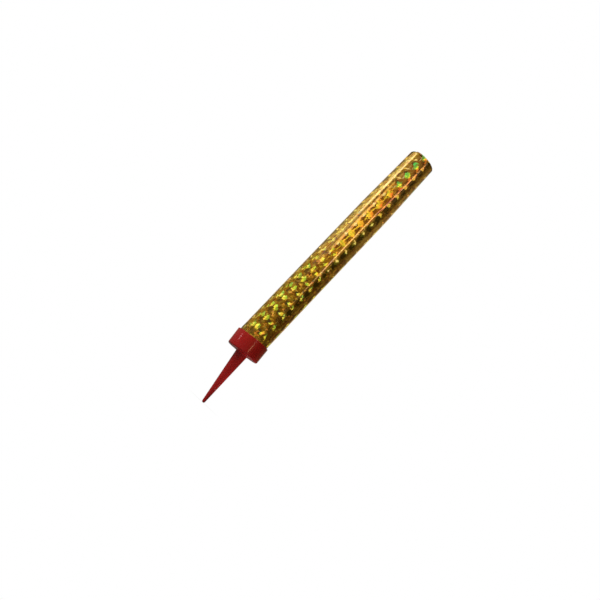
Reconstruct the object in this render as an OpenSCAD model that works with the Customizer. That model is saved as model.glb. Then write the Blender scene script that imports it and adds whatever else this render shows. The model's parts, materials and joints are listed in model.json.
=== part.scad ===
// Fountain candle: a film-wrapped paper tube pushed into a moulded cup with a spike for the cake.
// Millimetres, +Z up along the tube. The origin is where the spike's axis meets the cup's underside.

/* [Tube] */
// Diameter of the tube over its wrap
tube_d = 14.8; // [12:0.1:20]
// Cut length of the paper tube
tube_len = 121; // [80:1:200]
// Wall of the rolled paper
paper_wall = 1.2; // [0.8:0.1:1.8]
// Diameter over the wrap where the mouth is drawn in
mouth_d = 13.4; // [11:0.1:20]
// Length over which the mouth is drawn in
draw_len = 33; // [20:1:50]
// Diameter over the wrap where the foot is drawn in
foot_d = 13.7; // [11:0.1:20]
// How far the drawn-in foot shows above the cup's rim
foot_show = 0.1; // [0.05:0.05:2]

/* [Wrap] */
// Thickness of the film
film_t = 0.15; // [0.1:0.01:0.3]
// Glue line between the film and the paper
glue_t = 0.02; // [0.01:0.01:0.05]
// Width of the lap where the film's two ends overlap
lap_w = 4.5; // [2:0.5:8]
// Direction of the lap's free edge round the tube
lap_turn = 227; // [0:1:359]
// Depth that the film is tucked into the mouth
tuck_depth = 3; // [1:0.5:6]

/* [Holder] */
// Height of the cup
cup_h = 8.1; // [6:0.1:14]
// Wall of the cup at its mouth
cup_wall = 0.6; // [0.5:0.01:1.5]
// How much narrower the cup is at its base, on the radius
cup_draft = 0.15; // [0:0.05:0.3]
// Thickness of the cup's floor
cup_floor = 1; // [0.8:0.1:2]
// Radius of the cup's bottom edge
base_round = 0.8; // [0.3:0.1:1]
// Radius of the outer edge of the cup's mouth
lip_round = 0.2; // [0.1:0.05:0.4]
// Lean of the holder on the tube, in degrees
holder_lean = 5; // [0:0.5:6]
// Clearance of the push fit between the tube's foot and the cup's bore
push_gap = 0.05; // [0.02:0.01:0.1]

/* [Spike] */
// Length of the spike below the cup
spike_len = 27.6; // [15:0.1:60]
// Diameter of the spike at the cup
root_d = 6; // [4:0.1:8]
// Diameter of the spike's rounded tip
tip_d = 1.5; // [0.6:0.1:3]
// Fillet between the spike and the cup
root_fillet = 0.8; // [0.3:0.1:1.2]

/* [Filling] */
// Height of the clay plug in the tube's foot
plug_h = 12; // [6:1:20]
// Depth of the starter layer's top below the mouth
fill_drop = 10; // [9:0.5:30]
// Thickness of the starter layer
starter_h = 3; // [2:0.5:6]
// Clearance between the filling and the tube's bore
fill_gap = 0.05; // [0.02:0.01:0.1]

/* [Fuse and seal] */
// Thickness of the seal under the tucked film
seal_t = 0.5; // [0.3:0.1:1]
// Diameter of the fuse
fuse_d = 2; // [1.5:0.1:3]
// Depth of the fuse's socket in the starter layer
socket_depth = 1.5; // [0.5:0.1:1.8]
// Length of fuse that stands above the seal
fuse_stub = 2; // [1:0.1:3]
// Clearance round the fuse in its socket and in the seal
fuse_gap = 0.05; // [0.02:0.01:0.1]

/* [Hidden] */
$fn = 96;

// Tube, measured up from its own foot
tube_r = tube_d / 2;
mouth_r = mouth_d / 2;
foot_r = foot_d / 2;
wrap_t = film_t + glue_t;
rim_r = paper_wall / 2;
rim_z = tube_len - rim_r;
draw_z = tube_len - draw_len;
full_bore_r = tube_r - wrap_t - paper_wall;

// Place of the tube, whose axis crosses the holder's in the middle of the cup's mouth
tube_x = -cup_h * sin(holder_lean);
tube_z = (cup_floor + (tube_x + foot_r) * sin(holder_lean)) / cos(holder_lean) + push_gap;

// Cup and its bore, which clears the leaning tube and its lap at the mouth and at the foot's far edge
foot_reach = (foot_r - tube_x) * cos(holder_lean) - tube_z * sin(holder_lean);
seat_r = max(tube_r / cos(holder_lean), foot_reach) + film_t + push_gap;
cup_r = seat_r + cup_wall;
cup_base_r = cup_r - cup_draft;
draft_angle = atan(cup_draft / cup_h);
rim_top = cup_h * cos(holder_lean) + cup_r * sin(holder_lean);
foot_h = rim_top - tube_z + foot_show;

// Spike, a cone that runs tangent into its round tip
root_r = root_d / 2;
tip_r = tip_d / 2;
tip_drop = spike_len - tip_r;
spike_angle = acos(tip_r / norm([root_r, tip_drop])) - atan2(tip_drop, root_r);

// Levels inside the tube, measured up from its foot
seal_z = rim_z - tuck_depth - fill_gap - seal_t;
fill_z = tube_len - fill_drop;
starter_z = fill_z - starter_h;
fuse_z = fill_z - socket_depth;
fuse_len = seal_z + seal_t + fuse_stub - fuse_z;

// Lap of the film, proud by one film at its free edge and fading out under it
lap_angle = lap_w / tube_r * 180 / PI;
lap_shift = film_t / sin(lap_angle);
lap_fade = 3;

// Half section of the tube's outside, set in by a distance
function outside(inset) = [
    [foot_r - inset, 0],
    [tube_r - inset, foot_h],
    [tube_r - inset, draw_z],
    [mouth_r - inset, rim_z]
];

// Radius of the tube's bore at a height above its foot, drawn in with the outside at both ends
function bore_at(z) =
    full_bore_r
    - max(0, 1 - z / foot_h) * (tube_r - foot_r)
    - max(0, z - draw_z) / (rim_z - draw_z) * (tube_r - mouth_r);

function reversed(points) = [for (i = [len(points) - 1 : -1 : 0]) points[i]];

// Places a piece of the holder, which leans about the origin
module in_holder() {
    rotate([0, -holder_lean, 0])
        children();
}

// Places a piece of the tube, which stands along +Z in the leaning cup
module in_tube() {
    translate([tube_x, 0, tube_z])
        children();
}

// Filled section of the cup, with a round bottom edge and a round outer lip on its drafted wall
module cup_section() {
    base_x = cup_base_r + base_round * tan(draft_angle) - base_round / cos(draft_angle);
    lip_z = cup_h - lip_round;
    lip_x = cup_base_r + lip_z * tan(draft_angle) - lip_round / cos(draft_angle);
    along = [cos(draft_angle), -sin(draft_angle)];
    polygon([
        [0, 0],
        [base_x, 0],
        [base_x, base_round] + base_round * along,
        [lip_x, lip_z] + lip_round * along,
        [lip_x, cup_h],
        [0, cup_h]
    ]);
    translate([base_x, base_round])
        circle(base_round);
    translate([lip_x, lip_z])
        circle(lip_round);
}

// Spike rooted in the cup's floor, with a round tip
module spike() {
    tip_edge = [0, -tip_drop] + tip_r * [cos(spike_angle), -sin(spike_angle)];
    rotate_extrude()
        polygon([
            [0, cup_floor / 2],
            [root_r, cup_floor / 2],
            [root_r, 0],
            tip_edge,
            [0, tip_edge[1]]
        ]);
    translate([0, 0, -tip_drop])
        sphere(tip_r);
}

// Ring that blends the spike into the cup's underside
module fillet_ring() {
    fillet_x = root_r - root_fillet * tan(spike_angle) + root_fillet / cos(spike_angle);
    centre = [fillet_x, -root_fillet];
    spike_edge = centre - root_fillet * [cos(spike_angle), -sin(spike_angle)];
    rotate_extrude()
        difference() {
            polygon([
                [tip_r, cup_floor / 2],
                [fillet_x, cup_floor / 2],
                [fillet_x, spike_edge[1]],
                [tip_r, spike_edge[1]]
            ]);
            translate(centre)
                circle(root_fillet);
        }
}

// The moulding: cup, fillet and spike on one axis, with a straight bore for the tube
module holder() {
    color([0.57, 0.12, 0.11])
        in_holder() {
            difference() {
                rotate_extrude()
                    cup_section();
                translate([0, 0, cup_floor])
                    cylinder(r = seat_r, h = cup_h);
            }
            spike();
            fillet_ring();
        }
}

// Rolled paper with a round rim at the mouth
module paper_tube() {
    color([0.76, 0.66, 0.5])
        in_tube()
            rotate_extrude() {
                polygon(concat(
                    outside(wrap_t),
                    [for (z = [rim_z, draw_z, foot_h, 0]) [bore_at(z), z]]
                ));
                translate([mouth_r - wrap_t - rim_r, rim_z])
                    circle(rim_r);
            }
}

// Everything inside the tube's outside, set in by a distance, up to the rim
module tube_core(inset) {
    rotate_extrude()
        polygon(concat([[0, 0]], outside(inset), [[0, rim_z]]));
}

// Film down the tube's outside, over the rim and into the mouth
module film_section() {
    tuck_z = rim_z - tuck_depth;
    polygon(concat(outside(0), reversed(outside(film_t))));
    polygon([
        [bore_at(rim_z) - glue_t, rim_z],
        [bore_at(tuck_z) - glue_t, tuck_z],
        [bore_at(tuck_z) - wrap_t, tuck_z],
        [bore_at(rim_z) - wrap_t, rim_z]
    ]);
    intersection() {
        translate([mouth_r - wrap_t - rim_r, rim_z])
            difference() {
                circle(rim_r + wrap_t);
                circle(rim_r + glue_t);
            }
        translate([0, rim_z])
            square([tube_d, rim_r + wrap_t]);
    }
}

// Wedge round the tube's axis between two directions
module wedge(from, to) {
    reach = tube_d;
    linear_extrude(tube_len)
        polygon([[0, 0], reach * [cos(from), sin(from)], reach * [cos(to), sin(to)]]);
}

// The film's outer end: the tube's own outside moved sideways, so that only its free edge stands proud
module film_lap() {
    proud_turn = lap_turn - lap_angle + 90;
    difference() {
        intersection() {
            translate(lap_shift * [cos(proud_turn), sin(proud_turn), 0])
                tube_core(0);
            wedge(lap_turn - lap_angle - lap_fade, lap_turn);
        }
        tube_core(film_t / 2);
    }
}

module foil_wrap() {
    color([0.8, 0.62, 0.22])
        in_tube() {
            rotate_extrude()
                film_section();
            film_lap();
        }
}

// A charge that fills the bore between two heights, also where the tube is drawn in
module filling(from, to) {
    bends = [for (z = [foot_h, draw_z]) if (z > from && z < to) z];
    levels = concat([from], bends, [to]);
    rotate_extrude()
        polygon(concat(
            [[0, from]],
            [for (z = levels) [bore_at(z) - fill_gap, z]],
            [[0, to]]
        ));
}

module base_plug() {
    color([0.72, 0.69, 0.63])
        in_tube()
            filling(0, plug_h);
}

module fountain_charge() {
    color([0.34, 0.34, 0.35])
        in_tube()
            filling(plug_h, starter_z);
}

// Starter composition with a socket for the fuse
module starter_layer() {
    color([0.22, 0.21, 0.2])
        in_tube()
            difference() {
                filling(starter_z, fill_z);
                translate([0, 0, fuse_z])
                    cylinder(r = fuse_d / 2 + fuse_gap, h = starter_h);
            }
}

module fuse() {
    color([0.36, 0.45, 0.25])
        in_tube()
            translate([0, 0, fuse_z])
                cylinder(d = fuse_d, h = fuse_len);
}

// Paper disc under the tucked film, with a hole for the fuse
module top_seal() {
    color([0.86, 0.82, 0.72])
        in_tube()
            translate([0, 0, seal_z])
                difference() {
                    cylinder(r = bore_at(seal_z + seal_t) - fill_gap, h = seal_t);
                    translate([0, 0, -seal_t])
                        cylinder(r = fuse_d / 2 + fuse_gap, h = 3 * seal_t);
                }
}

holder();
paper_tube();
foil_wrap();
base_plug();
fountain_charge();
starter_layer();
fuse();
top_seal();
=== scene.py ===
"""Looks of a fountain candle: a paper tube in gold holographic film, pushed into a red spike holder."""

import json
import logging
import math
from dataclasses import dataclass
from enum import Enum
from typing import Any

import bmesh
import bpy
from bmesh.types import BMEdge, BMesh
from bpy.types import Material, Object
from mathutils import Matrix, Vector


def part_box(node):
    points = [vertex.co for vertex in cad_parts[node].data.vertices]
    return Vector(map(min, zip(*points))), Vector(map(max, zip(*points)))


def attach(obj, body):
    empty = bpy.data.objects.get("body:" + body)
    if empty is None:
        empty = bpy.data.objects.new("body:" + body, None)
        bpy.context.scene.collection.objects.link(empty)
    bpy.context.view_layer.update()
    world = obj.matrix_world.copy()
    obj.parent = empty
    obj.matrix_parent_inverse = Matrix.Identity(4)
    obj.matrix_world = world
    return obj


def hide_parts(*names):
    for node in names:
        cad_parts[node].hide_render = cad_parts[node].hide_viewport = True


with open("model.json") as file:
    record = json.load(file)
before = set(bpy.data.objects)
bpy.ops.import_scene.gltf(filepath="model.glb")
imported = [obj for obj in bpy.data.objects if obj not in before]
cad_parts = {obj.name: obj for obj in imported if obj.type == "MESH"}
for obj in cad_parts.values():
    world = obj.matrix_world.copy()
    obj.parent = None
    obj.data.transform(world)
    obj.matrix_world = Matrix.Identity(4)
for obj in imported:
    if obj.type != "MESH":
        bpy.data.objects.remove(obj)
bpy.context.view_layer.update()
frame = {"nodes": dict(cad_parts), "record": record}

MM = 0.001
TURN = 2 * math.pi
UP = (0.0, 0.0, 1.0)
MERGE = 0.002 * MM
LOG = logging.getLogger("fountain_candle")

Colour = tuple[float, float, float, float]
Section = list[tuple[float, float]]
Band = tuple[float, float]
Settings = dict[str, Any] | None
Sockets = dict[str | int, Any] | None

BLACK: Colour = (0.0, 0.0, 0.0, 1.0)
WHITE: Colour = (1.0, 1.0, 1.0, 1.0)


class Body(Enum):
    """The two bodies that the pull joint takes apart."""

    HOLDER = "holder"
    CANDLE = "candle"


class Slot(Enum):
    """Material slots of the record."""

    PLASTIC = "holder_plastic"
    PAPER = "rolled_paper"
    FILM = "gold_film"
    CLAY = "plug_clay"
    CHARGE = "charge"
    STARTER = "starter"
    CORD = "fuse_cord"
    SEAL = "seal_paper"


class Signal:
    """An output socket of a shader graph; arithmetic on it adds Math nodes."""

    def __init__(self, graph: "Graph", socket: bpy.types.NodeSocket) -> None:
        """Keeps the socket and the graph that it belongs to."""
        self.graph = graph
        self.socket = socket

    def __add__(self, other: "Signal | float") -> "Signal":
        """Sum."""
        return self.graph.math("ADD", self, other)

    def __radd__(self, other: float) -> "Signal":
        """Sum with a number on the left."""
        return self.graph.math("ADD", other, self)

    def __sub__(self, other: "Signal | float") -> "Signal":
        """Difference."""
        return self.graph.math("SUBTRACT", self, other)

    def __rsub__(self, other: float) -> "Signal":
        """Difference from a number."""
        return self.graph.math("SUBTRACT", other, self)

    def __mul__(self, other: "Signal | float") -> "Signal":
        """Product."""
        return self.graph.math("MULTIPLY", self, other)

    def __rmul__(self, other: float) -> "Signal":
        """Product with a number on the left."""
        return self.graph.math("MULTIPLY", other, self)

    def __truediv__(self, other: "Signal | float") -> "Signal":
        """Quotient."""
        return self.graph.math("DIVIDE", self, other)

    def __rtruediv__(self, other: float) -> "Signal":
        """Quotient of a number."""
        return self.graph.math("DIVIDE", other, self)

    def __mod__(self, other: float) -> "Signal":
        """Remainder that is never negative."""
        return self.graph.math("FLOORED_MODULO", self, other)

    def __rmod__(self, other: float) -> "Signal":
        """Remainder of a number."""
        return self.graph.math("FLOORED_MODULO", other, self)

    def __abs__(self) -> "Signal":
        """Size without its sign."""
        return self.graph.math("ABSOLUTE", self)

    def floor(self) -> "Signal":
        """Whole number below."""
        return self.graph.math("FLOOR", self)

    def centred(self) -> "Signal":
        """Distance from the nearest whole number, from -0.5 to 0.5."""
        return (self + 0.5) % 1.0 - 0.5

    def fade(self, start: float, end: float) -> "Signal":
        """Smooth step from 0 at start to 1 at end."""
        return self.graph.signal(
            "ShaderNodeMapRange",
            {"interpolation_type": "SMOOTHSTEP"},
            {"Value": self, "From Min": start, "From Max": end},
        )


class Graph:
    """Node tree of one material or of the world."""

    def __init__(self, tree: bpy.types.NodeTree) -> None:
        """Empties the tree."""
        self.tree = tree
        tree.nodes.clear()

    def node(self, kind: str, settings: Settings = None, sockets: Sockets = None) -> bpy.types.Node:
        """Adds one node.

        Args:
            kind: Blender's name of the node's type.
            settings: Properties, set first; stops fills a colour ramp with (place, colour) pairs.
            sockets: Input names or numbers with the value or the signal that each takes.

        Returns:
            The new node.
        """
        made = self.tree.nodes.new(kind)
        for name, value in (settings or {}).items():
            if name == "stops":
                elements = made.color_ramp.elements
                while len(elements) < len(value):
                    elements.new(1.0)
                for element, (place, colour) in zip(elements, value):
                    element.position = place
                    element.color = colour
            else:
                setattr(made, name, value)
        for key, value in (sockets or {}).items():
            if isinstance(value, Signal):
                self.tree.links.new(value.socket, made.inputs[key])
            else:
                made.inputs[key].default_value = value
        return made

    def signal(
        self, kind: str, settings: Settings = None, sockets: Sockets = None, output: str | int = 0
    ) -> Signal:
        """Adds one node as above and gives one of its outputs, by name or number."""
        return Signal(self, self.node(kind, settings, sockets).outputs[output])

    def math(self, operation: str, *values: Signal | float) -> Signal:
        """Adds a Math node on values."""
        return self.signal("ShaderNodeMath", {"operation": operation}, dict(enumerate(values)))

    def mix(self, share: Signal | float, low: Signal | Colour, high: Signal | Colour) -> Signal:
        """Mixes two colours, low at a share of 0 and high at 1."""
        return self.signal("ShaderNodeMix", {"data_type": "RGBA"}, {0: share, 6: low, 7: high}, 2)

    def split(self, vector: Signal) -> list[Signal]:
        """The three parts of a vector or colour."""
        parts = self.node("ShaderNodeSeparateXYZ", None, {0: vector})
        return [Signal(self, output) for output in parts.outputs]

    def place(self) -> Signal:
        """Place on the piece in the shared frame, in metres."""
        return self.signal("ShaderNodeTexCoord", output="Object")

    def noise(self, place: Signal, scale: float, detail: float = 2.0) -> Signal:
        """Cloudy noise from 0 to 1 with a number of clouds in each metre."""
        sockets = {"Vector": place, "Scale": scale, "Detail": detail}
        return self.signal("ShaderNodeTexNoise", None, sockets)

    def stretched(self, place: Signal, scale: tuple[float, float, float]) -> Signal:
        """The place scaled along each axis, for grain that runs one way."""
        return self.signal("ShaderNodeMapping", None, {"Vector": place, "Scale": scale})

    def bump(self, height: Signal, depth: float) -> Signal:
        """Normal that follows a height from 0 to 1 of a depth in metres."""
        sockets = {"Height": height, "Distance": depth, "Strength": 1.0}
        return self.signal("ShaderNodeBump", None, sockets)

    def surface(self, sockets: Sockets) -> None:
        """Ends a material in a Principled shader with these sockets."""
        shader = self.signal("ShaderNodeBsdfPrincipled", None, sockets)
        self.node("ShaderNodeOutputMaterial", None, {"Surface": shader})


def new_material(name: str) -> tuple[Material, Graph]:
    """Makes an empty node material.

    Args:
        name: Name of the material.

    Returns:
        The material and its graph.
    """
    material = bpy.data.materials.new(name)
    material.use_nodes = True
    return material, Graph(material.node_tree)


@dataclass(frozen=True)
class Layout:
    """Places and sizes that the pieces share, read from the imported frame, in metres and radians."""

    axis_x: float
    tube_r: float
    grip_low: float
    grip_high: float
    foot_z: float
    rim_top: float
    lean: float
    floor_z: float

    @classmethod
    def from_frame(cls) -> "Layout":
        """Reads the tube's and the holder's places from the record's mounts and the nodes' boxes.

        Returns:
            The layout.
        """
        mounts = {mount["name"]: mount for mount in frame["record"]["mounts"]}
        grip, spike = mounts["tube_grip"], mounts["cake_spike"]
        half = grip["dims"]["length_mm"] * MM / 2
        return cls(
            axis_x=grip["pos_m"][0],
            tube_r=grip["dims"]["r_mm"] * MM,
            grip_low=grip["pos_m"][2] - half,
            grip_high=grip["pos_m"][2] + half,
            foot_z=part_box("base_plug")[0].z,
            rim_top=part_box("foil_wrap")[1].z,
            lean=math.asin(spike["axis"][0]),
            floor_z=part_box("holder")[0].z,
        )

    def turn_of(self, point: Vector) -> float:
        """Direction of a point round the tube's axis, in radians from +X."""
        return math.atan2(point.y, point.x - self.axis_x)


def arc(centre: tuple[float, float], radius: float, start: float, end: float, steps: int) -> Section:
    """Points of an arc in a half section; start and end are degrees from outwards, towards up."""
    turns = [math.radians(start + (end - start) * i / steps) for i in range(steps + 1)]
    return [(centre[0] + radius * math.cos(t), centre[1] + radius * math.sin(t)) for t in turns]


def draw_section(mesh: BMesh, section: Section, axis_x: float = 0.0) -> list[BMEdge]:
    """Draws a half section in the plane of +X, out from an upright axis, and gives its edges."""
    points = [mesh.verts.new((axis_x + r, 0.0, z)) for r, z in section]
    return [mesh.edges.new(pair) for pair in zip(points, points[1:])]


def spin(mesh: BMesh, geom: list, axis_x: float, angle: float, steps: int, **more: Any) -> dict:
    """Spins geometry about an upright axis, with more of the operator's options, and gives its result."""
    cent = (axis_x, 0.0, 0.0)
    return bmesh.ops.spin(mesh, geom=geom, cent=cent, axis=UP, angle=angle, steps=steps, **more)


def spin_round(mesh: BMesh, axis_x: float, steps: int) -> None:
    """Spins all that is drawn a full turn about an upright axis and closes seam and poles.

    Args:
        mesh: Mesh with the half section.
        axis_x: Place of the axis.
        steps: Number of steps round it.
    """
    spin(mesh, mesh.verts[:] + mesh.edges[:], axis_x, TURN, steps, use_merge=True)
    bmesh.ops.remove_doubles(mesh, verts=mesh.verts[:], dist=MERGE)
    bmesh.ops.recalc_face_normals(mesh, faces=mesh.faces[:])


def smooth_shading(mesh: BMesh, crease: float = 35.0) -> None:
    """Shades faces smooth and keeps sharp edges.

    Args:
        mesh: Finished mesh.
        crease: Angle in degrees from which an edge stays sharp.
    """
    for face in mesh.faces:
        face.smooth = True
    for edge in mesh.edges:
        edge.smooth = len(edge.link_faces) == 2 and edge.calc_face_angle(0.0) < math.radians(crease)


def link_object(made: Object) -> Object:
    """Adds a new object to the scene and gives it back."""
    bpy.context.scene.collection.objects.link(made)
    return made


def mesh_object(name: str, mesh: BMesh, material: Material) -> Object:
    """Adds a finished mesh to the scene.

    Args:
        name: Name of the object.
        mesh: The mesh, with its place in it; it is freed.
        material: Its finish.

    Returns:
        The new object.
    """
    data = bpy.data.meshes.new(name)
    mesh.to_mesh(data)
    mesh.free()
    data.materials.append(material)
    return link_object(bpy.data.objects.new(name, data))


def add_piece(name: str, mesh: BMesh, material: Material, body: Body, node: str) -> Object:
    """Turns a mesh into a piece that stands for a node of the frame.

    Args:
        name: Name of the piece.
        mesh: Finished mesh; it is freed.
        material: Finish of the piece.
        body: Body that the piece rides on.
        node: Node that the piece replaces.

    Returns:
        The new object.
    """
    piece = mesh_object(name, mesh, material)
    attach(piece, body.value)
    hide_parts(node)
    LOG.info("%s rides on %s, %d faces", name, body.value, len(piece.data.polygons))
    return piece


def dress_node(node: str, material: Material) -> None:
    """Gives a node of the frame, whose shape stays, its finish.

    Args:
        node: Name of the node.
        material: Its finish.
    """
    piece = frame["nodes"][node]
    piece.data.materials.clear()
    piece.data.materials.append(material)
    LOG.info("%s keeps its solid", node)


class Outline(Enum):
    """Outline of a mark in a film cell."""

    DIAMOND = "diamond"
    BOX = "box"
    FACET = "facet"


class Columns(Enum):
    """Columns of film cells that carry a mark, counted round the tube from the front one.

    Pairs of spots close into diamonds up the even columns and stay open on the odd ones. FACING is
    the even columns with every other one weaker: painted glints are weaker on the columns at the sides
    than on those at the front and back. SECOND and FOURTH are odd columns, counted in fours.
    """

    CLOSING = "closing"
    OPEN = "open"
    FACING = "facing"
    SECOND = "second"
    FOURTH = "fourth"
    ALL = "all"


# Short names for the tables of marks
DIAMOND, BOX, FACET = Outline
CLOSING, OPEN, FACING, SECOND, FOURTH, ALL = Columns


@dataclass(frozen=True)
class Mark:
    """A mark in the film's cells; places and half sizes are shares of a cell, heights millimetres."""

    outline: Outline
    columns: Columns
    across: float
    down: float
    half_width: float
    half_height: float
    low: float = -40.0
    high: float = 180.0
    slant: float = 0.0
    mirrored: bool = False
    strength: float = 1.0

    BLEND = 2.5 * MM
    CORNER = 0.72
    EDGE = (1.12, 0.82)

    def share(self, cells: "FilmCells") -> Signal:
        """Draws the mark in the cells.

        Args:
            cells: The film's cells.

        Returns:
            The mark's strength on it and 0 off it.
        """
        across = cells.drawn_across + cells.drawn_down * self.slant
        aside = abs(abs(across) - self.across) if self.mirrored else abs((across - self.across).centred())
        x = aside / self.half_width
        y = abs((cells.drawn_down - self.down).centred()) / self.half_height
        if self.outline is Outline.DIAMOND:
            reach = x + y
        else:
            reach = cells.graph.math("MAXIMUM", x, y)
        if self.outline is Outline.FACET:
            reach = cells.graph.math("MAXIMUM", reach, (x + y) * self.CORNER)
        low, high = self.low * MM, self.high * MM
        above = cells.z.fade(low - self.BLEND, low + self.BLEND)
        below = cells.z.fade(high + self.BLEND, high - self.BLEND)
        return reach.fade(*self.EDGE) * (above * below) * cells.columns(self.columns) * self.strength


@dataclass(frozen=True)
class Lit(Mark):
    """A mark painted to glow by emission as a glint, with its place on the ramp from green to red and how
    that changes across it.
    """

    hue: float = 0.45
    hue_across: float = 0.0
    hue_down: float = 0.0
    pale: float = 0.0

    def hue_at(self, cells: "FilmCells") -> Signal:
        """Works out the mark's colour.

        Args:
            cells: The film's cells.

        Returns:
            Place on the ramp at each point of the mark.
        """
        x = (cells.drawn_across - self.across).centred() * (self.hue_across / self.half_width)
        y = (cells.down - self.down).centred() * (self.hue_down / self.half_height)
        return x + y + self.hue


@dataclass(frozen=True)
class Shade(Mark):
    """A mark of another metal tone."""

    tone: Colour = (0.17, 0.075, 0.01, 1.0)


@dataclass
class FilmCells:
    """Signals that place a point in the film's square cells, plain and as unevenly drawn."""

    graph: Graph
    z: Signal
    column: Signal
    row: Signal
    across: Signal
    down: Signal
    drawn_across: Signal
    drawn_down: Signal
    closing: Signal

    SECTORS = 8.0
    RUST_FROM = 20.0
    GLINTS_FROM = 40.0
    # Share of strength that the painted glints keep on the facing columns at the sides
    SIDE_GLINT_SHARE = 0.6

    def columns(self, which: Columns) -> Signal | float:
        """Tells the asked columns from the others.

        Args:
            which: The asked columns.

        Returns:
            1 on the asked columns, less on weaker ones, and 0 on the others.
        """
        if which is Columns.ALL:
            return 1.0
        if which is Columns.CLOSING:
            return self.closing
        if which is Columns.OPEN:
            return 1.0 - self.closing
        in_four = self.column % 4.0
        if which is Columns.FACING:
            strong = abs(in_four - 2.0).fade(0.5, 1.5)
            return self.closing * (strong * (1.0 - self.SIDE_GLINT_SHARE) + self.SIDE_GLINT_SHARE)
        return abs(in_four - (1.0 if which is Columns.SECOND else 3.0)).fade(0.6, 0.4)

    def chance(self, piece: Signal | float = 0.0, alike: bool = False) -> Signal:
        """A random number from 0 to 1 for each piece; alike, cells of a kind of column share them."""
        column, row = (self.closing, 0.5) if alike else (self.column, self.row)
        return self._dice({0: column, 1: row, 2: piece}, "Value")

    def scatter(self, piece: Signal) -> list[Signal]:
        """Three random numbers from 0 to 1 for each piece of a cell."""
        return self.graph.split(self._dice({0: self.column, 1: self.row, 2: piece}, "Color"))

    def triangle(self) -> Signal:
        """Numbers the triangles of a cell, eight inside a diamond and eight in its corners.

        Returns:
            Whole numbers below those of the rust.
        """
        way = self.graph.math("ARCTAN2", self.down, self.across) * (self.SECTORS / TURN)
        corner = (abs(self.across) + abs(self.down) + 0.5).floor()
        return way.floor() + corner * self.SECTORS

    def glint(self, count: int) -> Signal:
        """Numbers the half squares of a cell.

        Args:
            count: Number of whole squares on each side.

        Returns:
            Whole numbers past those of the triangles and the rust.
        """
        x, y = (self.across + 0.5) * count, (self.down + 0.5) * count
        half = (x % 1.0 + y % 1.0).floor()
        return (x.floor() + y.floor() * count) * 2.0 + half + self.GLINTS_FROM

    def _dice(self, spot: Sockets, output: str) -> Signal:
        """White noise that is the same all over one spot."""
        sockets = {"Vector": self.graph.signal("ShaderNodeCombineXYZ", None, spot)}
        return self.graph.signal("ShaderNodeTexWhiteNoise", {"noise_dimensions": "3D"}, sockets, output)


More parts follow.
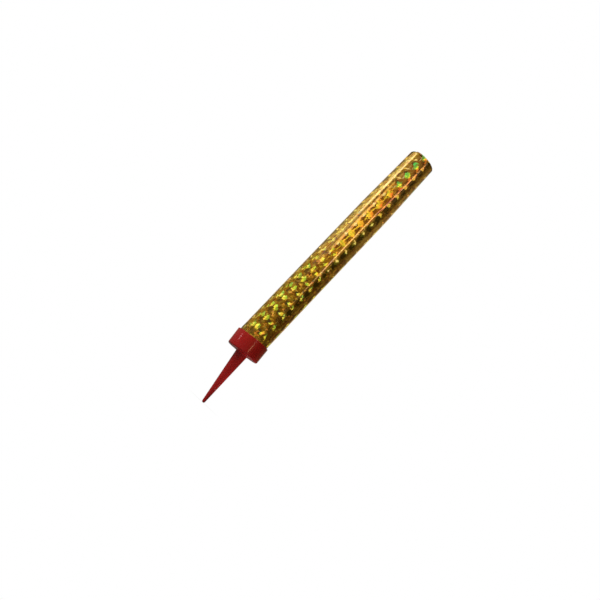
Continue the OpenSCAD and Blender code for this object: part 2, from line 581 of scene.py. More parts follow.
@dataclass(frozen=True)
class HologramFilm:
    """Gold film with a square mosaic of holographic cells, whose spots and diamonds glow by emission as
    painted glints.

    A band is two heights on the film: what it names starts at the first and is full at the second.
    """

    axis_x: float
    seam_turn: float
    front_turn: float = math.radians(-94.5)
    cells_round: int = 8
    squares: int = 5
    row_pitch: float = 5.887 * MM
    row_z: float = 117.456 * MM
    row_skew: float = 1.33
    row_start: float = 0.268
    unevenness: float = 0.14
    first_lift: Band = (35 * MM, 66 * MM)
    second_lift: Band = (80 * MM, 107 * MM)
    squeeze_in: Band = (30 * MM, 62 * MM)
    squeeze_out: Band = (70 * MM, 62 * MM)
    flecked: Band = (66 * MM, 54 * MM)
    paled: Band = (62 * MM, 52 * MM)
    rusted: Band = (72 * MM, 56 * MM)
    dulled: Band = (68 * MM, 50 * MM)
    # The film's foot above the cup's lip: roughened, without coat, and darkened there as painted shade
    rubbed_and_shaded: Band = (10.2 * MM, 9.3 * MM)
    folded: Band = (121 * MM, 124 * MM)
    hue_by_cell: float = 0.1
    hue_by_glint: float = 0.17
    glow_strength: float = 0.72
    roughness: float = 0.11
    coat_roughness: float = 0.05
    pale_glow: Colour = (1.0, 0.92, 0.62, 1.0)
    rust: Colour = (0.62, 0.22, 0.025, 1.0)
    # Painted shade colour of the film's foot just above the cup's lip
    painted_shade_gold: Colour = (0.3, 0.22, 0.03, 1.0)

    ALONG = "along"
    RAINBOW = (
        (0.04, (0.06, 0.48, 0.08, 1.0)),
        (0.24, (0.30, 0.68, 0.04, 1.0)),
        (0.42, (0.95, 0.82, 0.04, 1.0)),
        (0.56, (1.0, 0.52, 0.03, 1.0)),
        (0.70, (1.0, 0.26, 0.02, 1.0)),
        (0.88, (0.70, 0.08, 0.012, 1.0)),
    )
    GOLDS = (
        (0.1, (0.36, 0.17, 0.07, 1.0)),
        (0.3, (0.68, 0.33, 0.03, 1.0)),
        (0.5, (0.82, 0.50, 0.08, 1.0)),
        (0.68, (0.78, 0.56, 0.08, 1.0)),
        (0.9, (1.0, 0.74, 0.24, 1.0)),
    )
    # Painted glints: these marks glow by emission as the film's highlights, in the mosaic's colours
    LIT = (
        Lit(
            FACET, FACING, -0.305, 0.0, 0.17, 0.23, low=9, high=65, hue=0.36, hue_across=-0.04,
            hue_down=0.1,
        ),
        Lit(
            FACET, FACING, 0.3, 0.02, 0.13, 0.19, low=9, high=65, slant=0.5, hue=0.44, hue_across=0.14,
            hue_down=-0.05,
        ),
        Lit(FACET, FOURTH, 0.25, 0.0, 0.19, 0.23, low=9, high=54, strength=0.74, hue=0.27, hue_down=0.16),
        Lit(FACET, FOURTH, 0.2, 0.1, 0.16, 0.3, low=82, strength=0.3, hue=0.38, pale=0.3),
        Lit(FACET, FOURTH, 0.2, 0.2, 0.13, 0.21, low=54, high=82, strength=0.8, hue=0.42, pale=0.2),
        Lit(
            FACET, SECOND, -0.31, 0.0, 0.1, 0.22, low=9, high=50, slant=-0.25, strength=0.85, hue=0.36,
            hue_across=0.08, hue_down=0.16,
        ),
        Lit(FACET, FOURTH, -0.28, 0.42, 0.14, 0.2, low=9, high=50, strength=0.5, hue=0.5, pale=0.2),
        Lit(DIAMOND, OPEN, -0.28, 0.0, 0.12, 0.14, low=50, high=84, hue=0.45, pale=0.25),
        Lit(DIAMOND, SECOND, -0.29, 0.02, 0.22, 0.34, low=50, high=84, strength=0.12, hue=0.36),
        Lit(
            DIAMOND, OPEN, -0.37, 0.03, 0.23, 0.2, low=84, slant=0.3, hue=0.53, hue_across=-0.04, pale=0.06,
        ),
        Lit(
            DIAMOND, CLOSING, 0.0, 0.0, 0.38, 0.32, low=65, high=84, strength=0.92, hue=0.5,
            hue_across=0.08, hue_down=-0.04,
        ),
        Lit(
            DIAMOND, CLOSING, 0.03, -0.03, 0.32, 0.38, low=84, high=100, hue=0.57, hue_across=0.22,
            hue_down=-0.2,
        ),
        Lit(DIAMOND, CLOSING, 0.05, 0.0, 0.33, 0.34, low=101, hue=0.14, hue_across=0.36),
        Lit(DIAMOND, CLOSING, 0.36, 0.12, 0.13, 0.19, low=101, strength=0.8, hue=0.74),
        Lit(BOX, CLOSING, -0.07, 0.38, 0.045, 0.15, low=101, strength=0.4, hue=0.3, pale=0.6),
        Lit(BOX, CLOSING, 0.0, -0.45, 0.05, 0.25, low=56, high=101, strength=0.7, hue=0.46),
        Lit(DIAMOND, CLOSING, -0.28, 0.3, 0.13, 0.2, low=56, high=101, strength=0.7, hue=0.45, pale=0.4),
        Lit(DIAMOND, CLOSING, -0.02, 0.47, 0.12, 0.2, high=50, strength=0.45, hue=0.62),
        Lit(BOX, CLOSING, -0.77, -0.35, 0.08, 0.12, low=101, slant=1.25, strength=0.65, hue=0.46, pale=0.3),
    )
    SHADES = (
        Shade(
            BOX, CLOSING, 0.0, 0.0, 0.45, 0.6, low=56, high=104, strength=0.6, tone=(0.95, 0.46, 0.05, 1.0),
        ),
        Shade(
            BOX, CLOSING, 0.18, -0.47, 0.12, 0.16, low=56, high=101, mirrored=True, strength=0.85,
            tone=(0.3, 0.11, 0.01, 1.0),
        ),
        Shade(BOX, CLOSING, 0.0, 0.0, 0.5, 0.6, low=104, strength=0.65, tone=(0.62, 0.32, 0.12, 1.0)),
        Shade(BOX, CLOSING, 0.38, 0.2, 0.13, 0.36, low=84, strength=0.7, tone=(0.5, 0.14, 0.02, 1.0)),
        Shade(BOX, OPEN, -0.46, 0.4, 0.14, 0.3, low=86, high=104, strength=0.8, tone=(0.3, 0.1, 0.02, 1.0)),
        Shade(
            BOX, CLOSING, 0.46, 0.4, 0.12, 0.3, low=86, high=104, strength=0.8, tone=(0.3, 0.1, 0.02, 1.0),
        ),
        Shade(DIAMOND, CLOSING, 0.13, 0.27, 0.1, 0.11, low=56, high=101, mirrored=True),
        Shade(DIAMOND, CLOSING, -0.26, -0.02, 0.17, 0.22, low=101),
        Shade(BOX, CLOSING, 0.03, 0.06, 0.1, 0.16, high=46, strength=0.8, tone=(0.16, 0.18, 0.13, 1.0)),
        Shade(BOX, ALL, 0.5, 0.45, 0.17, 0.19, high=62, strength=0.5, tone=(0.24, 0.12, 0.08, 1.0)),
        Shade(FACET, SECOND, -0.24, 0.36, 0.22, 0.34, low=22, strength=0.8, tone=(0.12, 0.12, 0.015, 1.0)),
        Shade(FACET, FOURTH, -0.3, 0.22, 0.22, 0.3, strength=0.6, tone=(0.16, 0.15, 0.02, 1.0)),
        Shade(BOX, ALL, 0.41, 0.3, 0.1, 0.3, high=50, strength=0.8, tone=(0.2, 0.11, 0.02, 1.0)),
    )

    def material(self) -> Material:
        """Builds the film's shader.

        Returns:
            The material.
        """
        material, graph = new_material("hologram_film")
        cells = self._cells(graph)
        glint = cells.glint(self.squares)
        alone, alike = cells.chance(glint), cells.chance(glint, alike=True)
        lit, glow = self._glow(cells, alone, alike)
        # Painted shade: just above the cup's lip the film's colour is darkened towards a dark gold, as
        # where shade falls between film and cup; the same band is also roughened and loses its coat
        rubbed_and_shaded = cells.z.fade(*self.rubbed_and_shaded)
        ground = graph.mix(rubbed_and_shaded * 0.65, self._ground(cells, alone, alike), self.painted_shade_gold)
        graph.surface(
            {
                "Base Color": graph.mix(lit, ground, glow),
                "Metallic": 1.0 - lit * 0.75,
                "Roughness": self.roughness + lit * 0.2 + alone.fade(0.5, 0.9) * 0.12 + rubbed_and_shaded * 0.3,
                "Coat Weight": (1.0 - rubbed_and_shaded) * (1.0 - cells.z.fade(*self.dulled) * 0.75),
                "Coat Roughness": self.coat_roughness,
                # Painted glints: the lit marks glow by emission, standing in for light that the film throws
                # back
                "Emission Color": graph.mix(lit, BLACK, glow),
                "Emission Strength": self.glow_strength,
            }
        )
        return material

    def _glow(self, cells: FilmCells, alone: Signal, alike: Signal) -> tuple[Signal, Signal]:
        """Paints glints on the marks and some stray flecks, as glow by emission that stands in for light.

        Args:
            cells: The film's cells.
            alone: A random number for each glint of each cell.
            alike: A random number for each glint, shared by the cells of a kind of column.

        Returns:
            How far each place is lit, and the colour of its light.
        """
        graph = cells.graph
        flecks = alone.fade(0.9, 0.97) * cells.z.fade(*self.flecked) * (cells.closing * 0.16 + 0.12)
        lit, pale = flecks, 0.0
        hue = flecks * (alike * 0.4 + 0.35)
        for mark in self.LIT:
            share = mark.share(cells)
            lit = lit + share
            hue = hue + share * mark.hue_at(cells)
            pale = pale + share * mark.pale
        weight = graph.math("MAXIMUM", lit, 0.001)
        hue = hue / weight + (cells.chance() - 0.5) * self.hue_by_cell + (alone - 0.5) * self.hue_by_glint
        pale = pale + (lit - flecks) * alone.fade(0.6, 0.95) * cells.z.fade(*self.paled) * 0.12
        unfolded = 1.0 - cells.z.fade(*self.folded) * 0.6
        lit = graph.math("MINIMUM", lit, 1.0) * (0.28 + alike * 0.35 + alone * 0.65) * unfolded
        colour = graph.signal("ShaderNodeValToRGB", {"stops": self.RAINBOW}, {0: hue})
        return lit, graph.mix(pale / weight, colour, self.pale_glow)

    def _ground(self, cells: FilmCells, alone: Signal, alike: Signal) -> Signal:
        """Colours the unlit mosaic, with rusty triangles low down and the shaded marks.

        Args:
            cells: The film's cells.
            alone: As for the glow.
            alike: As for the glow.

        Returns:
            The metal's colour.
        """
        graph = cells.graph
        triangle = cells.triangle()
        tone = cells.chance(triangle) * 0.5 + alike * 0.35 + alone * 0.45 - 0.15
        ground = graph.signal("ShaderNodeValToRGB", {"stops": self.GOLDS}, {0: tone})
        rusty = cells.chance(triangle + cells.RUST_FROM).fade(0.55, 0.8) * cells.z.fade(*self.rusted)
        ground = graph.mix(rusty * 0.5, ground, self.rust)
        for shade in self.SHADES:
            ground = graph.mix(shade.share(cells), ground, shade.tone)
        return ground

    def _cells(self, graph: Graph) -> FilmCells:
        """Lays the cells round the tube from the lap's edge and down it from the top row.

        Args:
            graph: Graph of the film's material.

        Returns:
            The signals of the cells.
        """
        x, y, _ = graph.split(graph.place())
        z = graph.signal("ShaderNodeAttribute", {"attribute_name": self.ALONG}, output="Fac")
        unwound = (graph.math("ARCTAN2", y, x - self.axis_x) - self.seam_turn) % TURN
        cell = (unwound + (self.seam_turn - self.front_turn)) * (self.cells_round / TURN)
        column = (cell + 0.5).floor()
        closing = 1.0 - column % 2.0
        lifted = z.fade(*self.first_lift) * 0.2 + z.fade(*self.second_lift) * 0.5
        row = (self.row_z - z) / self.row_pitch - unwound * (self.row_skew / TURN)
        row = row + self.row_start + closing * lifted
        across, down = cell.centred(), row.centred()
        squeeze = 1.0 + closing * z.fade(*self.squeeze_in) * z.fade(*self.squeeze_out) * 0.5
        cells = FilmCells(graph, z, column, (row + 0.5).floor(), across, down, across, down, closing)
        shake = [(part - 0.5) * self.unevenness for part in cells.scatter(cells.glint(self.squares))]
        drawn = (across + shake[0]) * squeeze
        cells.drawn_across = graph.math("MINIMUM", graph.math("MAXIMUM", drawn, -0.5), 0.5)
        cells.drawn_down = down + shake[1]
        return cells


@dataclass(frozen=True)
class MouldedPlastic:
    """Glossy red plastic with the faint unevenness of a small moulding."""

    deep: Colour = (0.435, 0.0115, 0.0115, 1.0)
    bright: Colour = (0.495, 0.0145, 0.0145, 1.0)
    clouds: float = 350.0
    grains: float = 2600.0
    grain_depth: float = 0.0006 * MM
    roughness: float = 0.15
    specular: float = 0.36

    def material(self) -> Material:
        """Builds the plastic's shader.

        Returns:
            The material.
        """
        material, graph = new_material("moulded_plastic")
        place = graph.place()
        cloud = graph.noise(place, self.clouds, detail=3.0)
        grain = graph.noise(place, self.grains)
        graph.surface(
            {
                "Base Color": graph.mix(cloud, self.deep, self.bright),
                "Roughness": self.roughness + grain * 0.06,
                "Specular IOR Level": self.specular,
                "Normal": graph.bump(grain, self.grain_depth),
            }
        )
        return material


@dataclass(frozen=True)
class Fibres:
    """Paper or board with fibres that run round it and a cloudy tone."""

    name: str
    dark: Colour
    pale: Colour
    grain: tuple[float, float, float] = (900.0, 900.0, 3500.0)
    clouds: float = 220.0
    fibre_depth: float = 0.03 * MM
    roughness: float = 0.75

    def material(self) -> Material:
        """Builds the paper's shader.

        Returns:
            The material.
        """
        material, graph = new_material(self.name)
        place = graph.place()
        fibre = graph.noise(graph.stretched(place, self.grain), 1.0, detail=4.0)
        cloud = graph.noise(place, self.clouds)
        graph.surface(
            {
                "Base Color": graph.mix(fibre * 0.7 + cloud * 0.3, self.dark, self.pale),
                "Roughness": self.roughness + fibre * 0.15,
                "Normal": graph.bump(fibre, self.fibre_depth),
            }
        )
        return material


@dataclass(frozen=True)
class Pressed:
    """Pressed powder or clay with grains of another tone."""

    name: str
    body: Colour
    fleck: Colour
    grains: float
    glint: float = 0.0
    grain_depth: float = 0.06 * MM
    roughness: float = 0.85

    def material(self) -> Material:
        """Builds the powder's shader.

        Returns:
            The material.
        """
        material, graph = new_material(self.name)
        place = graph.place()
        sockets = {"Vector": place, "Scale": self.grains}
        cells = graph.signal("ShaderNodeTexVoronoi", None, sockets, "Distance")
        cloud = graph.noise(place, self.grains / 3.0)
        flecks = cells.fade(0.32, 0.2) * cloud.fade(0.45, 0.6)
        graph.surface(
            {
                "Base Color": graph.mix(flecks, self.body, self.fleck),
                "Metallic": flecks * self.glint,
                "Roughness": self.roughness - flecks * 0.4,
                "Normal": graph.bump(cells, self.grain_depth),
            }
        )
        return material


@dataclass
class FilmWrap:
    """The film: down the tube's outside into the cup, over the rim and tucked into the mouth."""

    layout: Layout
    film_t: float = 0.15 * MM
    glue_t: float = 0.02 * MM
    foot_r: float = 6.85 * MM
    mouth_r: float = 6.7 * MM
    rim_r: float = 0.6 * MM
    tuck_depth: float = 3.0 * MM
    tuck_flare: float = 0.06 * MM
    seam_turn: float = math.radians(227.0)
    seam_gap: float = math.radians(0.25)
    lap_w: float = 4.5 * MM
    pucker: float = 0.45 * MM
    pucker_reach: float = 5 * MM
    pucker_turn: float = math.radians(50.0)
    pleats: int = 23
    pleat_depth: float = 0.1 * MM
    pleat_drift: float = 1.4
    wave_depth: float = 0.018 * MM
    wave_start: float = 8 * MM
    wall_cuts: tuple[int, int, int] = (5, 90, 40)
    fold_steps: int = 12
    steps: int = 180

    WAVES = ((5, 40), (9, -75))

    @property
    def fold_r(self) -> float:
        """Radius of the film's outside over the rim."""
        return self.rim_r + self.film_t + self.glue_t

    @property
    def rim_z(self) -> float:
        """Height of the middle of the rim's round."""
        return self.layout.rim_top - self.fold_r

    def build(self) -> None:
        """Models the film and dresses it."""
        mesh = bmesh.new()
        section = draw_section(mesh, self._section(), self.layout.axis_x)
        for edge, count in zip(section, self.wall_cuts):
            bmesh.ops.subdivide_edges(mesh, edges=[edge], cuts=count)
        first = mesh.edges[:]
        centre = (self.layout.axis_x, 0.0, 0.0)
        turned = Matrix.Rotation(self.seam_turn, 3, "Z")
        bmesh.ops.rotate(mesh, verts=mesh.verts[:], cent=centre, matrix=turned)
        spun = spin(mesh, mesh.verts[:] + first, self.layout.axis_x, TURN - self.seam_gap, self.steps)
        last = [item for item in spun["geom_last"] if isinstance(item, BMEdge)]
        wall = bmesh.ops.bridge_loops(mesh, edges=first + last)
        bmesh.ops.recalc_face_normals(mesh, faces=mesh.faces[:])
        along = mesh.verts.layers.float.new(HologramFilm.ALONG)
        for vert in mesh.verts:
            vert[along] = self._along(vert.co)
            vert.co += self._shift(vert.co)
        smooth_shading(mesh)
        for edge in first + last:
            edge.smooth = False
        LOG.info("film's lap edge has %d faces", len(wall["faces"]))
        finish = HologramFilm(self.layout.axis_x, self.seam_turn)
        piece = add_piece("film_wrap", mesh, finish.material(), Body.CANDLE, "foil_wrap")
        thickness = piece.modifiers.new("film thickness", "SOLIDIFY")
        thickness.thickness = self.film_t
        thickness.offset = -1.0

    def _section(self) -> Section:
        """Draws half the film's outside, from the foot up, over the rim and down the tuck.

        Returns:
            The half section.
        """
        fold_r, fold_x = self.fold_r, self.mouth_r - self.fold_r
        walls = [
            (self.foot_r, self.layout.foot_z),
            (self.layout.tube_r, self.layout.grip_low),
            (self.layout.tube_r, self.layout.grip_high),
        ]
        fold = arc((fold_x, self.rim_z), fold_r, 0.0, 180.0, self.fold_steps)
        tuck_x = fold_x - fold_r + self.tuck_flare
        tuck = [(tuck_x, self.rim_z - self.tuck_depth * share) for share in (0.25, 0.5, 0.75, 1.0)]
        return walls + fold + tuck

    def _along(self, point: Vector) -> float:
        """Measures the length along the film.

        Args:
            point: Place on the plain film.

        Returns:
            The height on its outside, growing on over the rim and down the tuck.
        """
        side = math.hypot(point.x - self.layout.axis_x, point.y) - (self.mouth_r - self.fold_r)
        if point.z > self.rim_z:
            return self.rim_z + self.fold_r * math.atan2(point.z - self.rim_z, side)
        if side < 0.0:
            return self.rim_z + self.fold_r * math.pi + self.rim_z - point.z
        return point.z

    def _shift(self, point: Vector) -> Vector:
        """How far a point of the plain film moves for the lap, the pucker, the pleats and slight waves.

        Args:
            point: Place on the plain film.

        Returns:
            The move.
        """
        turn = (self.layout.turn_of(point) - self.seam_turn) % TURN
        if turn > TURN - self.seam_gap / 2:
            turn = 0.0
        outwards = Vector((point.x - self.layout.axis_x, point.y, 0.0)).normalized()
        radius = math.hypot(point.x - self.layout.axis_x, point.y)
        inner = radius < self.mouth_r - self.rim_r
        lap_turn = self.lap_w / self.layout.tube_r
        lap = max(0.0, (turn - (TURN - lap_turn)) / lap_turn) * self.film_t
        above = min(1.0, max(0.0, (point.z - self.rim_z + self.pucker_reach) / self.pucker_reach))
        lift = self.pucker * math.exp(-turn / self.pucker_turn) * above ** 2
        clear = min(1.0, max(0.0, (point.z - self.layout.grip_low) / self.wave_start))
        wave = sum(math.sin(count * turn + rise * point.z) for count, rise in self.WAVES)
        drift = self.pleat_drift * math.sin(3 * turn)
        pleat = math.sin(self.pleats * turn + drift) if inner else 0.0
        out = 0.0 if inner else lap + self.wave_depth * clear * wave
        return outwards * (out + self.pleat_depth * pleat) + Vector((0.0, 0.0, 0.0 if inner else lift))


@dataclass
class SpikeHolder:
    """The moulding: a drafted cup, its fillet and a tapered spike on one leaning axis."""

    layout: Layout
    cup_h: float = 8.1 * MM
    cup_r: float = 8.228 * MM
    cup_base_r: float = 8.078 * MM
    seat_r: float = 7.628 * MM
    cup_floor: float = 1.0 * MM
    base_round: float = 0.8 * MM
    lip_round: float = 0.2 * MM
    spike_len: float = 27.6 * MM
    root_r: float = 3.0 * MM
    tip_r: float = 0.75 * MM
    root_fillet: float = 0.8 * MM
    round_steps: int = 8
    steps: int = 128

    def build(self) -> None:
        """Models the holder and dresses it."""
        mesh = bmesh.new()
        draw_section(mesh, self._section())
        spin_round(mesh, 0.0, self.steps)
        leaning = Matrix.Rotation(-self.layout.lean, 3, "Y")
        bmesh.ops.rotate(mesh, verts=mesh.verts[:], cent=(0.0, 0.0, 0.0), matrix=leaning)
        smooth_shading(mesh)
        finish = MouldedPlastic()
        add_piece("spike_holder", mesh, finish.material(), Body.HOLDER, "holder")

    def _section(self) -> Section:
        """Draws half the holder, from the spike's tip up the outside and down the cup's bore.

        Returns:
            The half section.
        """
        tip_z = self.tip_r - self.spike_len
        taper = math.degrees(math.atan2(self.root_r - self.tip_r, self.spike_len - self.tip_r))
        draft = math.degrees(math.atan2(self.cup_r - self.cup_base_r, self.cup_h))
        rise = math.tan(math.radians(taper))
        fillet_x = self.root_r - self.root_fillet * rise + self.root_fillet
        count = self.round_steps
        tip = arc((0.0, tip_z), self.tip_r, -90.0, -taper, count)
        fillet = arc((fillet_x, -self.root_fillet), self.root_fillet, 180.0 - taper, 90.0, count)
        base_at = (self.cup_base_r - self.base_round, self.base_round)
        base = arc(base_at, self.base_round, -90.0, -draft, count)
        lip_at = (self.cup_r - self.lip_round, self.cup_h - self.lip_round)
        lip = arc(lip_at, self.lip_round, -draft, 90.0, count - 2)
        bore = [
            (self.seat_r, self.cup_h),
            (self.seat_r, self.cup_floor),
            (0.0, self.cup_floor),
        ]
        return tip + fillet + base + lip + bore


@dataclass
class FuseCord:
    """The fuse: twisted strands from the starter layer up through the seal."""

    layout: Layout
    strands: int = 4
    strand_r: float = 0.42 * MM
    lay: float = 3.0 * MM
    sides: int = 12
    steps_per_turn: int = 20

    def build(self) -> None:
        """Models the strands and dresses them."""
        low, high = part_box("fuse")
        reach = (high.x - low.x) / 2 - self.strand_r
        turns = (high.z - low.z) / self.lay
        steps = round(turns * self.steps_per_turn)
        mesh = bmesh.new()
        for index in range(self.strands):
            way = TURN * index / self.strands
            centre = Vector((self.layout.axis_x + reach * math.cos(way), reach * math.sin(way), low.z))
            ring = bmesh.ops.create_circle(
                mesh,
                cap_ends=True,
                radius=self.strand_r,
                segments=self.sides,
                matrix=Matrix.Translation(centre),
            )
            faces = list({face for vert in ring["verts"] for face in vert.link_faces})
            rise = (0.0, 0.0, (high.z - low.z) / steps)
            spin(mesh, faces, self.layout.axis_x, TURN * turns, steps, dvec=rise)
        bmesh.ops.recalc_face_normals(mesh, faces=mesh.faces[:])
        smooth_shading(mesh, crease=60.0)
        dark, pale = (0.05, 0.08, 0.02, 1.0), (0.22, 0.30, 0.10, 1.0)
        finish = Fibres("fuse_fibres", dark, pale, grain=(2500.0, 2500.0, 900.0))
        add_piece("fuse_cord", mesh, finish.material(), Body.CANDLE, "fuse")


@dataclass
class SealDisc:
    """The paper seal under the tucked film, dished a little round the fuse."""

    layout: Layout
    hole_r: float = 1.05 * MM
    dish: float = 0.25 * MM
    folds: int = 9
    fold_depth: float = 0.06 * MM
    rings: int = 8
    steps: int = 96

    def build(self) -> None:
        """Models the disc and dresses it."""
        low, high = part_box("top_seal")
        edge_r = (high.x - low.x) / 2
        mesh = bmesh.new()
        radii = [self.hole_r + (edge_r - self.hole_r) * i / self.rings for i in range(self.rings + 1)]
        outline = [(r, low.z) for r in radii] + [(r, high.z) for r in reversed(radii)]
        draw_section(mesh, outline + outline[:1], self.layout.axis_x)
        spin_round(mesh, self.layout.axis_x, self.steps)
        for vert in mesh.verts:
            radius = math.hypot(vert.co.x - self.layout.axis_x, vert.co.y)
            middle = 1.0 - (radius - self.hole_r) / (edge_r - self.hole_r)
            fold = math.sin(self.folds * self.layout.turn_of(vert.co)) * middle * (1.0 - middle)
            vert.co.z -= self.dish * middle ** 2 + self.fold_depth * fold
        smooth_shading(mesh)
        dark, pale = (0.34, 0.27, 0.17, 1.0), (0.82, 0.76, 0.62, 1.0)
        finish = Fibres("seal_fibres", dark, pale, grain=(2600.0, 700.0, 900.0))
        add_piece("seal_disc", mesh, finish.material(), Body.CANDLE, "top_seal")


@dataclass
class TubeAndFilling:
    """The rolled tube and what is pressed into it, whose solids stay."""

    def build(self) -> None:
        """Dresses the tube, the plug, the charge and the starter."""
        paper = Fibres("rolled_paper", (0.30, 0.20, 0.11, 1.0), (0.52, 0.39, 0.23, 1.0))
        clay = Pressed("plug_clay", (0.44, 0.40, 0.33, 1.0), (0.24, 0.20, 0.16, 1.0), 1400.0)
        charge = Pressed("charge", (0.08, 0.08, 0.085, 1.0), (0.45, 0.45, 0.46, 1.0), 1800.0, 0.9)
        starter = Pressed("starter", (0.035, 0.032, 0.03, 1.0), (0.16, 0.14, 0.12, 1.0), 2400.0)
        dress_node("paper_tube", paper.material())
        dress_node("base_plug", clay.material())
        dress_node("fountain_charge", charge.material())
        dress_node("starter_layer", starter.material())


@dataclass(frozen=True)
class Panel:
    """A light panel round the candle; its direction and sizes are degrees seen from the tube's middle.

    Without shine it isn't mirrored in gloss, and without fill it doesn't light dull surfaces.
    """

    name: str
    azimuth: float
    elevation: float
    width: float
    height: float
    radiance: float
    tint: tuple[float, float, float] = (1.0, 1.0, 1.0)
    tilt: float = 0.0
    distance: float = 1.0
    shine: bool = True
    fill: bool = True


@dataclass
class Studio:
    """Pale floor, soft panels and the camera; the tip stands at a share of the holder's reach along +X."""

    layout: Layout
    aim_z: float = 60 * MM
    floor_size: float = 6.0
    floor_cells: int = 8
    floor_colour: Colour = (0.27, 0.265, 0.26, 1.0)
    tip_share: float = 1 / 3
    contact: Band = (1 * MM, 12 * MM)
    contact_share: float = 0.2
    surround: Colour = (0.093, 0.068, 0.028, 1.0)
    elevation: float = math.radians(-9.186)
    roll: float = math.radians(43.46)
    distance: float = 370 * MM
    target: tuple[float, float, float] = (2.51 * MM, 0.0, 35.30 * MM)
    lens: float = 49.19
    nearest: float = 10 * MM

    PANELS = (
        Panel("left_wall", -86.0, 17.0, 104.0, 32.0, 0.3, (1.0, 0.91, 0.4)),
        Panel("left_high", -106.0, 21.0, 38.0, 17.0, 0.3, (1.0, 0.98, 0.75)),
        Panel("left_panel", -80.5, 20.5, 25.0, 7.0, 0.85, (0.92, 0.97, 1.6)),
        Panel("left_panel_top", -84.0, 26.5, 18.0, 6.0, 1.0, (0.92, 0.97, 1.6)),
        Panel("front_edge", -37.0, 25.5, 17.0, 5.5, 0.25, (1.0, 0.85, 0.5)),
        Panel("left_panel_low", -80.0, 20.5, 14.0, 17.0, 0.5, (0.95, 0.97, 1.1)),
        Panel("front_panel", -41.0, 18.1, 14.0, 9.3, 0.83, (1.0, 0.92, 1.3)),
        Panel("lilac_gap", -61.0, 14.5, 9.0, 7.0, 0.25, (1.0, 0.8, 2.4)),
        Panel("thin_strip", 24.7, 13.4, 6.0, 11.0, 1.8, (1.0, 1.0, 1.2), -14.0),
        Panel("slanted_strip", 36.5, 23.0, 4.0, 20.0, 1.8, (1.0, 0.64, 0.8), -65.0),
        Panel("right_edge", 57.5, 24.3, 16.0, 5.0, 0.22, (1.0, 0.6, 0.4)),
        Panel("front_glow", 5.0, 14.0, 74.0, 28.0, 0.14, (1.0, 0.84, 0.26)),
        Panel("front_high", -11.0, 20.0, 60.0, 15.0, 0.21, (1.0, 0.6, 0.12)),
        Panel("right_glow", 124.0, 14.0, 56.0, 28.0, 0.08, (1.0, 0.8, 0.4)),
        Panel("right_high", 116.0, 22.0, 52.0, 12.0, 0.085, (1.0, 0.8, 0.4)),
        Panel("back_glow", 180.0, 12.0, 64.0, 30.0, 0.45, (1.0, 0.95, 0.85)),
        Panel("rim_glow", -30.0, 72.0, 84.0, 64.0, 0.75, (1.0, 0.9, 0.65), fill=False),
        Panel("cup_streak", -67.0, -60.5, 3.1, 6.9, 8.5, (1.0, 0.62, 0.62), distance=0.0641, fill=False),
        Panel("cup_line", 23.0, -57.5, 2.35, 16.0, 6.0, (1.0, 0.62, 0.32), distance=0.0633, fill=False),
        Panel("low_front", -35.0, -5.0, 90.0, 14.0, 0.07),
        Panel("low_left", -105.0, -5.0, 56.0, 14.0, 0.22),
        Panel("spike_fill", 82.0, -77.0, 8.0, 8.0, 5.4, distance=0.083, shine=False),
        Panel("key", -56.0, 46.0, 42.0, 42.0, 4.1, shine=False),
        Panel("overhead_back", 150.0, 60.0, 36.0, 36.0, 0.4, shine=False),
    )

    def build(self) -> None:
        """Makes the floor, the surround, the lights and the camera."""
        self._floor()
        self._surround()
        for panel in self.PANELS:
            self._light(panel)
        self._camera()
        view = bpy.context.scene.view_settings
        view.view_transform = "Standard"
        view.look = "None"

    def _floor(self) -> None:
        """Lays a pale floor under the spike's tip that fades into the white surround."""
        mesh = bmesh.new()
        cells = self.floor_cells
        bmesh.ops.create_grid(mesh, x_segments=cells, y_segments=cells, size=self.floor_size / 2)
        bmesh.ops.translate(mesh, verts=mesh.verts[:], vec=(0.0, 0.0, self.layout.floor_z))
        material, graph = new_material("pale_floor")
        tip = (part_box("holder")[1].x * self.tip_share, 0.0, self.layout.floor_z)
        between = {0: graph.place(), 1: tip}
        reach = graph.signal("ShaderNodeVectorMath", {"operation": "DISTANCE"}, between, "Value")
        seen = graph.signal("ShaderNodeLightPath", output="Is Camera Ray")
        lit = graph.signal("ShaderNodeBsdfDiffuse", None, {"Color": self.floor_colour})
        white = graph.signal("ShaderNodeEmission", None, {"Color": WHITE, "Strength": 1.0})
        share = seen * (reach.fade(*self.contact) * self.contact_share + (1.0 - self.contact_share))
        shader = graph.signal("ShaderNodeMixShader", None, {0: share, 1: lit, 2: white})
        graph.node("ShaderNodeOutputMaterial", None, {"Surface": shader})
        floor = mesh_object("floor", mesh, material)

    def _surround(self) -> None:
        """Sets a white backdrop for the camera and a dim warm room for reflections."""
        world = bpy.data.worlds.new("studio")
        world.use_nodes = True
        bpy.context.scene.world = world
        graph = Graph(world.node_tree)
        seen = graph.signal("ShaderNodeLightPath", output="Is Camera Ray")
        colour = graph.mix(seen, self.surround, WHITE)
        backdrop = graph.signal("ShaderNodeBackground", None, {"Color": colour})
        graph.node("ShaderNodeOutputWorld", None, {"Surface": backdrop})

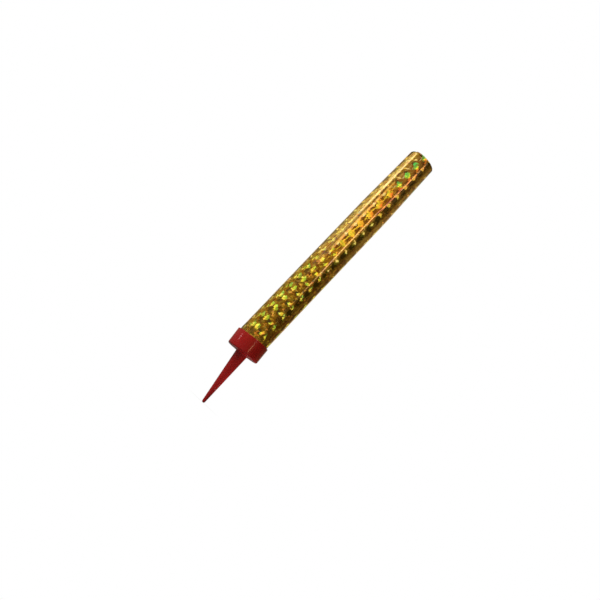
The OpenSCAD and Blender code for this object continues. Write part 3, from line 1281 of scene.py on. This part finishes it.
    def _light(self, panel: Panel) -> None:
        """Hangs one panel that faces the tube's middle.

        Args:
            panel: The panel.
        """
        azimuth, elevation = math.radians(panel.azimuth), math.radians(panel.elevation)
        flat = math.cos(elevation)
        outwards = Vector((math.sin(azimuth) * flat, -math.cos(azimuth) * flat, math.sin(elevation)))
        data = bpy.data.lights.new(panel.name, "AREA")
        data.shape = "RECTANGLE"
        data.size = 2 * panel.distance * math.tan(math.radians(panel.width / 2))
        data.size_y = 2 * panel.distance * math.tan(math.radians(panel.height / 2))
        data.energy = panel.radiance * math.pi * data.size * data.size_y
        data.color = panel.tint
        light = link_object(bpy.data.objects.new(panel.name, data))
        aim = Vector((self.layout.axis_x, 0.0, self.aim_z))
        tilted = Matrix.Rotation(math.radians(panel.tilt), 3, "Z").to_quaternion()
        facing = (outwards.to_track_quat("Z", "Y") @ tilted).to_matrix().to_4x4()
        light.matrix_world = Matrix.Translation(aim + outwards * panel.distance) @ facing
        light.visible_camera = False
        light.visible_glossy = panel.shine
        light.visible_diffuse = panel.fill

    def _camera(self) -> None:
        """Sets the camera at the photographed angle, rolled so that the candle lies across the picture."""
        back = Vector((0.0, -math.cos(self.elevation), math.sin(self.elevation)))
        right = Vector((1.0, 0.0, 0.0))
        up = back.cross(right)
        across = right * math.cos(self.roll) + up * math.sin(self.roll)
        upright = up * math.cos(self.roll) - right * math.sin(self.roll)
        data = bpy.data.cameras.new("camera")
        data.lens = self.lens
        data.clip_start = self.nearest
        camera = link_object(bpy.data.objects.new("camera", data))
        axes = Matrix((across, upright, back)).transposed().to_4x4()
        camera.matrix_world = Matrix.Translation(Vector(self.target) + back * self.distance) @ axes
        bpy.context.scene.camera = camera


def main() -> None:
    """Builds the candle's sub-assemblies and the studio, in order."""
    logging.basicConfig(level=logging.INFO, format="%(name)s: %(message)s")
    layout = Layout.from_frame()
    for assembly in (
        SpikeHolder(layout),
        FilmWrap(layout),
        FuseCord(layout),
        SealDisc(layout),
        TubeAndFilling(),
        Studio(layout),
    ):
        assembly.build()
        LOG.info("built %s", type(assembly).__name__)


if __name__ == "__main__":
    main()
